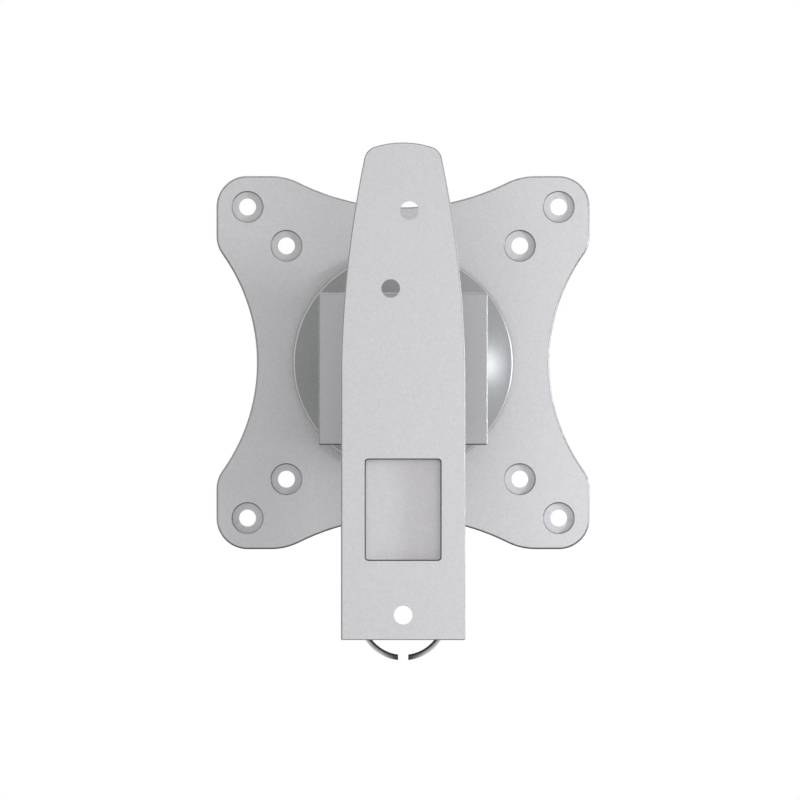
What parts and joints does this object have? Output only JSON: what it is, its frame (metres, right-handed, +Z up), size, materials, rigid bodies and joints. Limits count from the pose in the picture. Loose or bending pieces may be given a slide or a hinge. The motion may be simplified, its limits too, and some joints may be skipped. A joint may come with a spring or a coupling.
{
  "type": "swivel tv wall mount",
  "caption": "Short wall mount for a flat screen: wall plate with arm, swivelling yoke, tilting domed head and turning square plate with two hole patterns.",
  "frame": {"origin": "on the wall, straight behind the centre of the screen plate", "axes": "+Z up, +Y out of the wall towards the screen, +X along the wall"},
  "size_m": [0.12, 0.1079, 0.1665],
  "materials": {
    "silver_coat": "fine silver powder coat on cast aluminium",
    "dome_coat": "satin silver paint on cast aluminium",
    "clip_metal": "dark bright plating",
    "zinc": "zinc plated steel",
    "nylon": "natural nylon",
    "cap_plastic": "moulded grey plastic"
  },
  "bodies": {
    "wall": {"wall_bracket": "silver_coat", "swivel_bush_upper": "nylon", "swivel_bush_lower": "nylon", "swivel_nut_cap": "cap_plastic", "cable_clip": "clip_metal", "cable_clip_screw": "zinc"},
    "yoke": {"swivel_yoke": "silver_coat", "swivel_friction_washer": "nylon", "swivel_bolt": "zinc", "swivel_flat_washer": "zinc", "swivel_spring_washers": "zinc", "swivel_nut": "zinc", "tilt_bolt": "zinc", "tilt_flat_washer": "zinc", "tilt_spring_washers": "zinc", "tilt_nut": "zinc"},
    "head": {"tilt_head": "dome_coat", "tilt_bush_left": "nylon", "tilt_bush_right": "nylon", "rotation_friction_ring": "nylon", "rotation_clamp_disc": "zinc", "rotation_spring_washer": "zinc", "rotation_bolt": "zinc"},
    "plate": {"screen_plate": "silver_coat"}
  },
  "joints": [
    {"name": "swivel", "type": "hinge", "parent": "wall", "child": "yoke", "pos_m": [0, 0.062, 0], "axis": [0, 0, 1], "range_deg": [-90, 90]},
    {"name": "tilt", "type": "hinge", "parent": "yoke", "child": "head", "pos_m": [0, 0.076, 0], "axis": [1, 0, 0], "range_deg": [-15, 15]},
    {"name": "turn", "type": "hinge", "parent": "head", "child": "plate", "pos_m": [0, 0.1, 0], "axis": [0, 1, 0], "continuous": true}
  ]
}
